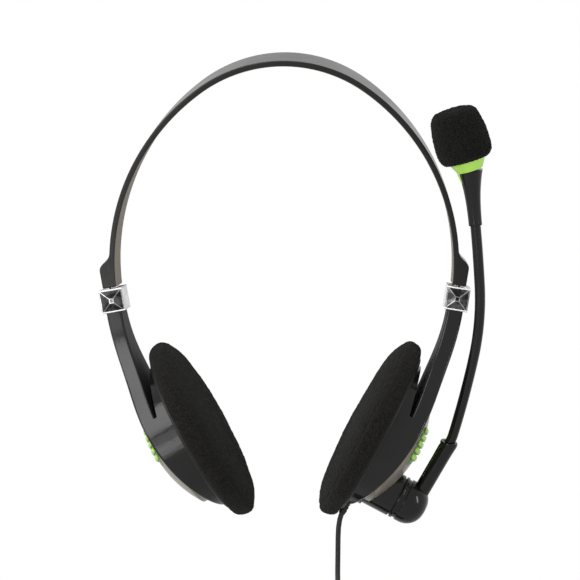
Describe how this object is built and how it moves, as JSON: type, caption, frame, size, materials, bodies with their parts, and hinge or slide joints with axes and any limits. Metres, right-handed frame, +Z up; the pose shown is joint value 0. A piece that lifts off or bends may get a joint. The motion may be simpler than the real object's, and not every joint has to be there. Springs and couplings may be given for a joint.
{
  "type": "on-ear headset",
  "caption": "Light on-ear headset with a thin sprung headband, sliding arms, canted foam ear cups, a swinging gooseneck microphone with a foam cover, and a tied cord with a jack plug.",
  "frame": {"origin": "midway between the centres of the two ear pads", "axes": "+X to the side that carries the microphone, -Y the front, +Z up through the crown of the headband"},
  "size_m": [0.1432, 0.0716, 0.2946],
  "materials": {
    "gloss_black": "gloss",
    "matte_black": "matte",
    "taupe": "satin lacquer",
    "lime": "satin",
    "foam": "open-cell foam",
    "plated": "polished",
    "spring_steel": "brushed",
    "screw_steel": "zinc",
    "membrane": "translucent film",
    "cord_jacket": "satin"
  },
  "bodies": {
    "headband": {"headband": "gloss_black", "left_slider_strip": "spring_steel", "right_slider_strip": "spring_steel"},
    "left_arm": {"left_collar": "plated", "left_detent_spring": "spring_steel", "left_arm_shell": "gloss_black", "left_dome_cap": "taupe", "left_accent_ribs": "lime", "left_driver_plate": "matte_black", "left_driver_frame": "matte_black", "left_diaphragm": "membrane", "left_driver_magnet": "plated", "left_plate_screws": "screw_steel", "left_ear_pad": "foam"},
    "right_arm": {"right_collar": "plated", "right_detent_spring": "spring_steel", "right_arm_shell": "gloss_black", "right_dome_cap": "taupe", "right_accent_ribs": "lime", "right_driver_plate": "matte_black", "right_driver_frame": "matte_black", "right_diaphragm": "membrane", "right_driver_magnet": "plated", "right_plate_screws": "screw_steel", "right_ear_pad": "foam", "friction_washer": "matte_black", "cord_relief": "cord_jacket", "cord": "cord_jacket", "cord_coil": "cord_jacket", "cord_tie": "matte_black", "cord_tail": "cord_jacket", "plug_relief": "cord_jacket", "plug_body": "matte_black", "plug_jack": "plated"},
    "boom": {"boom_pivot_pin": "screw_steel", "boom_pin_clip": "spring_steel", "boom_knob": "gloss_black", "boom_sleeve": "gloss_black", "boom_neck": "cord_jacket", "mic_body": "gloss_black", "mic_ring": "lime", "mic_cage": "matte_black", "mic_capsule": "plated", "windscreen": "foam"}
  },
  "joints": [
    {"name": "left_arm_slide", "type": "slide", "parent": "headband", "child": "left_arm", "axis": [0.165, 0, -0.9863], "range_m": [0, 0.018]},
    {"name": "right_arm_slide", "type": "slide", "parent": "headband", "child": "right_arm", "axis": [-0.165, 0, -0.9863], "range_m": [0, 0.018]},
    {"name": "boom_swing", "type": "hinge", "parent": "right_arm", "child": "boom", "pos_m": [0.0408, 0, -0.02572], "axis": [0.8805, 0, -0.4741], "range_deg": [0, 156]}
  ]
}
